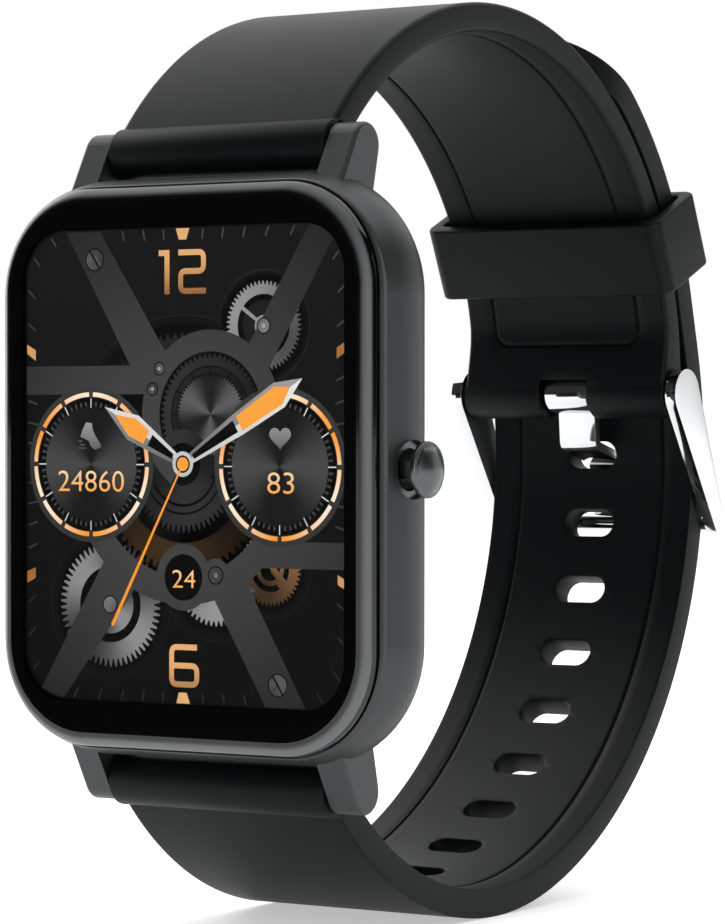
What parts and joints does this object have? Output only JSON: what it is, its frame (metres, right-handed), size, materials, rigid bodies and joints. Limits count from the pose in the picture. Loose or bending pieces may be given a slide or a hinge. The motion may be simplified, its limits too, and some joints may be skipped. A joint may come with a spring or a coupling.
{
  "type": "smartwatch",
  "caption": "Rectangular touch-display watch on a buckled silicone strap, with side crown, pulse sensor, charging contacts, spring bars, chrome pin buckle and sliding keeper.",
  "frame": {"origin": "middle of the flat sensor window that lies on the skin", "axes": "+Y from the display towards the wrist, +Z towards the twelve o'clock strap, +X towards the crown"},
  "size_m": [0.0388, 0.0661, 0.0728],
  "materials": {
    "case_metal": "satin dark grey coating",
    "cover_glass": "polished, printed black border",
    "black_seal": "matte",
    "display": "lit panel with a dial",
    "flex_ribbon": "amber film",
    "stamped_steel": "stamped",
    "circuit_board": "green solder resist",
    "chip_resin": "moulded black",
    "battery_foil": "foil pouch",
    "crown_metal": "polished dark plating",
    "rear_plastic": "fine matte",
    "sensor_lamps": "clear lens",
    "gold_contacts": "gold plated",
    "magnet": "nickel plated",
    "strap_silicone": "smooth satin silicone",
    "buckle_chrome": "polished with brushed sides",
    "bar_steel": "turned"
  },
  "bodies": {
    "watch": {"case_body": "case_metal", "cover_glass": "cover_glass", "glass_gasket": "black_seal", "display_panel": "display", "display_flex": "flex_ribbon", "inner_chassis": "stamped_steel", "main_board": "circuit_board", "board_shield": "stamped_steel", "board_chips": "chip_resin", "battery": "battery_foil", "motor_can": "stamped_steel", "motor_base": "stamped_steel", "motor_shaft": "stamped_steel", "speaker": "chip_resin", "microphone": "chip_resin", "side_switch": "stamped_steel", "crown_bush": "crown_metal", "crown_seal": "black_seal", "rear_cover": "rear_plastic", "rear_gasket": "black_seal", "rear_screws": "stamped_steel", "sensor_window": "cover_glass", "sensor_board": "circuit_board", "sensor_emitters": "sensor_lamps", "charge_contacts": "gold_contacts", "charge_magnets": "magnet", "buckle_strap": "strap_silicone", "holed_strap": "strap_silicone", "upper_bar_tube": "bar_steel", "upper_bar_spring": "bar_steel", "lower_bar_tube": "bar_steel", "lower_bar_spring": "bar_steel", "buckle_bar_tube": "bar_steel", "buckle_bar_spring": "bar_steel"},
    "crown_push": {"switch_button": "chip_resin"},
    "crown": {"crown_stem": "crown_metal", "crown_cap": "crown_metal", "crown_clip": "stamped_steel"},
    "motor_weight": {"motor_rotor": "stamped_steel"},
    "buckle": {"buckle_frame": "buckle_chrome"},
    "tongue": {"buckle_tongue": "buckle_chrome"},
    "strap_keeper": {"keeper": "strap_silicone"},
    "upper_tip_left": {"upper_bar_tip_left": "bar_steel"},
    "upper_tip_right": {"upper_bar_tip_right": "bar_steel"},
    "lower_tip_left": {"lower_bar_tip_left": "bar_steel"},
    "lower_tip_right": {"lower_bar_tip_right": "bar_steel"},
    "buckle_tip_left": {"buckle_bar_tip_left": "bar_steel"},
    "buckle_tip_right": {"buckle_bar_tip_right": "bar_steel"}
  },
  "joints": [
    {"name": "crown_press", "type": "slide", "parent": "watch", "child": "crown_push", "axis": [-1, 0, 0], "range_m": [0, 0.0005], "stiffness_N_per_m": 2500},
    {"name": "crown_turn", "type": "hinge", "parent": "crown_push", "child": "crown", "pos_m": [0.0184, -0.0046, 0], "axis": [1, 0, 0], "continuous": true},
    {"name": "vibration_spin", "type": "hinge", "parent": "watch", "child": "motor_weight", "pos_m": [0.0121, -0.00518, -0.009], "axis": [0, 1, 0], "continuous": true},
    {"name": "buckle_swing", "type": "hinge", "parent": "watch", "child": "buckle", "pos_m": [0, 0.0495, 0.00595], "axis": [1, 0, 0], "range_deg": [0, 2.5]},
    {"name": "tongue_swing", "type": "hinge", "parent": "buckle", "child": "tongue", "pos_m": [0, 0.0495, 0.00595], "axis": [1, 0, 0], "range_deg": [0, 1.5]},
    {"name": "keeper_slide", "type": "hinge", "parent": "watch", "child": "strap_keeper", "pos_m": [0, 0.02062, 0.00648], "axis": [1, 0, 0], "range_deg": [-4.5, 35]},
    {"name": "upper_tip_left_slide", "type": "slide", "parent": "watch", "child": "upper_tip_left", "axis": [1, 0, 0], "range_m": [0, 0.0009], "stiffness_N_per_m": 600},
    {"name": "upper_tip_right_slide", "type": "slide", "parent": "watch", "child": "upper_tip_right", "axis": [-1, 0, 0], "range_m": [0, 0.0009], "stiffness_N_per_m": 600, "deforming": ["upper_bar_spring"]},
    {"name": "lower_tip_left_slide", "type": "slide", "parent": "watch", "child": "lower_tip_left", "axis": [1, 0, 0], "range_m": [0, 0.0009], "stiffness_N_per_m": 600},
    {"name": "lower_tip_right_slide", "type": "slide", "parent": "watch", "child": "lower_tip_right", "axis": [-1, 0, 0], "range_m": [0, 0.0009], "stiffness_N_per_m": 600, "deforming": ["lower_bar_spring"]},
    {"name": "buckle_tip_left_slide", "type": "slide", "parent": "watch", "child": "buckle_tip_left", "axis": [1, 0, 0], "range_m": [0, 0.0009], "stiffness_N_per_m": 600},
    {"name": "buckle_tip_right_slide", "type": "slide", "parent": "watch", "child": "buckle_tip_right", "axis": [-1, 0, 0], "range_m": [0, 0.0009], "stiffness_N_per_m": 600, "deforming": ["buckle_bar_spring"]}
  ]
}
